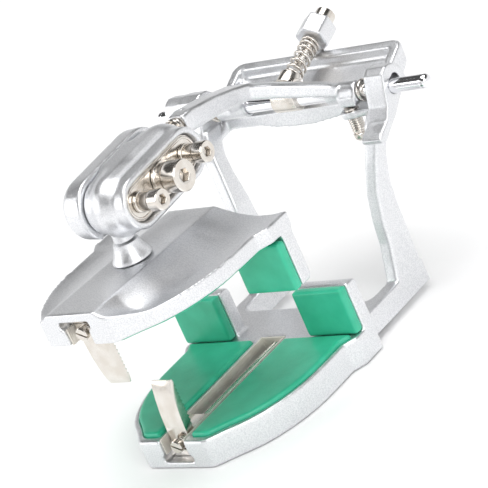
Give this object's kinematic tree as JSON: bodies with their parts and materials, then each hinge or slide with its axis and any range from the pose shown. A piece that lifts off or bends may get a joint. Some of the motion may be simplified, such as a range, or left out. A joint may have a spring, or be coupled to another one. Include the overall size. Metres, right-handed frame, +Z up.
{
  "type": "dental articulator",
  "caption": "Plasterless hinge articulator: metal frame, tilting upper plate on a ball clamp, screw-driven fingers and silicone pads that grip dental casts.",
  "frame": {"origin": "on the underside of the lower tray, on the centre plane, 35 mm behind the tray's front edge; the object stands on Z = 0", "axes": "+X along the hinge pin to the right, +Y from the front of the tray to the hinge, +Z up"},
  "size_m": [0.12, 0.1676, 0.0986],
  "materials": {
    "casting": "satin chrome-plated die casting",
    "nickel_steel": "nickel-plated steel, bright with a warm tone",
    "polished_pin": "ground and polished pin",
    "green_silicone": "soft matt silicone"
  },
  "bodies": {
    "base": {"lower_frame": "casting", "lower_pad_right": "green_silicone", "lower_pad_left": "green_silicone", "lower_post_pad_right": "green_silicone", "lower_post_pad_left": "green_silicone", "lower_slot_liner": "nickel_steel"},
    "hinge_group": {"hinge_axle": "polished_pin", "spring_seat": "nickel_steel", "axle_collar_right": "nickel_steel", "axle_collar_left": "nickel_steel", "centric_spring": "nickel_steel"},
    "arm": {"upper_arm": "casting"},
    "rear_ball": {"rear_ball_stud": "nickel_steel"},
    "clamp_block": {"clamp_shell_right": "casting", "clamp_shell_left": "casting", "clamp_plate": "nickel_steel"},
    "front_ball": {"front_ball_stud": "casting"},
    "upper_unit": {"upper_plate": "casting", "upper_pad_right": "green_silicone", "upper_pad_left": "green_silicone", "upper_post_pad_right": "green_silicone", "upper_post_pad_left": "green_silicone", "upper_slot_liner": "nickel_steel"},
    "center_screw": {"clamp_center_screw": "nickel_steel"},
    "front_screw": {"clamp_front_screw": "nickel_steel"},
    "rear_screw": {"clamp_rear_screw": "nickel_steel"},
    "lower_slider": {"lower_slider_nut": "nickel_steel", "lower_clamp_finger": "nickel_steel"},
    "lower_lead": {"lower_lead_screw": "nickel_steel"},
    "upper_slider": {"upper_slider_nut": "nickel_steel", "upper_clamp_finger": "nickel_steel"},
    "upper_lead": {"upper_lead_screw": "nickel_steel"},
    "centric": {"centric_screw": "nickel_steel"},
    "stop": {"vertical_stop_screw": "nickel_steel"}
  },
  "joints": [
    {"name": "protrusion_slide", "type": "slide", "parent": "base", "child": "hinge_group", "axis": [0, 0.9511, 0.309], "range_m": [0, 0.0025], "stiffness_N_per_m": 900, "springref_m": -0.004, "deforming": ["centric_spring"]},
    {"name": "arm_hinge", "type": "hinge", "parent": "hinge_group", "child": "arm", "pos_m": [0, 0.0803, 0.0716], "axis": [-1, 0, 0], "range_deg": [0, 80]},
    {"name": "rear_ball_roll", "type": "hinge", "parent": "arm", "child": "rear_ball", "pos_m": [0, 0.0106, 0.0881], "axis": [0, 0.9827, 0.1851], "range_deg": [-15, 15]},
    {"name": "rear_ball_pitch", "type": "hinge", "parent": "rear_ball", "child": "clamp_block", "pos_m": [0, 0.0106, 0.0881], "axis": [1, 0, 0], "range_deg": [-8, 8]},
    {"name": "front_ball_pitch", "type": "hinge", "parent": "clamp_block", "child": "front_ball", "pos_m": [0, -0.0158, 0.086], "axis": [1, 0, 0], "range_deg": [-8, 8]},
    {"name": "front_ball_yaw", "type": "hinge", "parent": "front_ball", "child": "upper_unit", "pos_m": [0, -0.0158, 0.086], "axis": [0, 0, 1], "range_deg": [-20, 20]},
    {"name": "center_screw_turn", "type": "hinge", "parent": "clamp_block", "child": "center_screw", "pos_m": [0, -0.0026, 0.08705], "axis": [1, 0, 0], "range_deg": [-360, 360]},
    {"name": "front_screw_turn", "type": "hinge", "parent": "clamp_block", "child": "front_screw", "pos_m": [0, -0.0158, 0.086], "axis": [1, 0, 0], "range_deg": [-360, 360]},
    {"name": "rear_screw_turn", "type": "hinge", "parent": "clamp_block", "child": "rear_screw", "pos_m": [0, 0.0106, 0.0881], "axis": [1, 0, 0], "range_deg": [-360, 360]},
    {"name": "lower_finger_slide", "type": "slide", "parent": "base", "child": "lower_slider", "axis": [0, 1, 0], "range_m": [0, 0.036]},
    {"name": "lower_lead_turn", "type": "hinge", "parent": "base", "child": "lower_lead", "pos_m": [0, 0, 0.0072], "axis": [0, 1, 0], "range_deg": [0, 16500]},
    {"name": "upper_finger_slide", "type": "slide", "parent": "upper_unit", "child": "upper_slider", "axis": [0, 1, 0], "range_m": [0, 0.034]},
    {"name": "upper_lead_turn", "type": "hinge", "parent": "upper_unit", "child": "upper_lead", "pos_m": [0, -0.0504, 0.0593], "axis": [0, 1, 0], "range_deg": [0, 15600]},
    {"name": "centric_screw_travel", "type": "slide", "parent": "base", "child": "centric", "axis": [0, 0.9511, 0.309], "range_m": [-0.0007, 0.003]},
    {"name": "stop_screw_travel", "type": "slide", "parent": "base", "child": "stop", "axis": [0, 0, 1], "range_m": [-0.004, 0]}
  ],
  "couplings": [
    {"joint": "lower_lead_turn", "follows": "lower_finger_slide", "rad_per_m": 7854},
    {"joint": "upper_lead_turn", "follows": "upper_finger_slide", "rad_per_m": 7854}
  ]
}
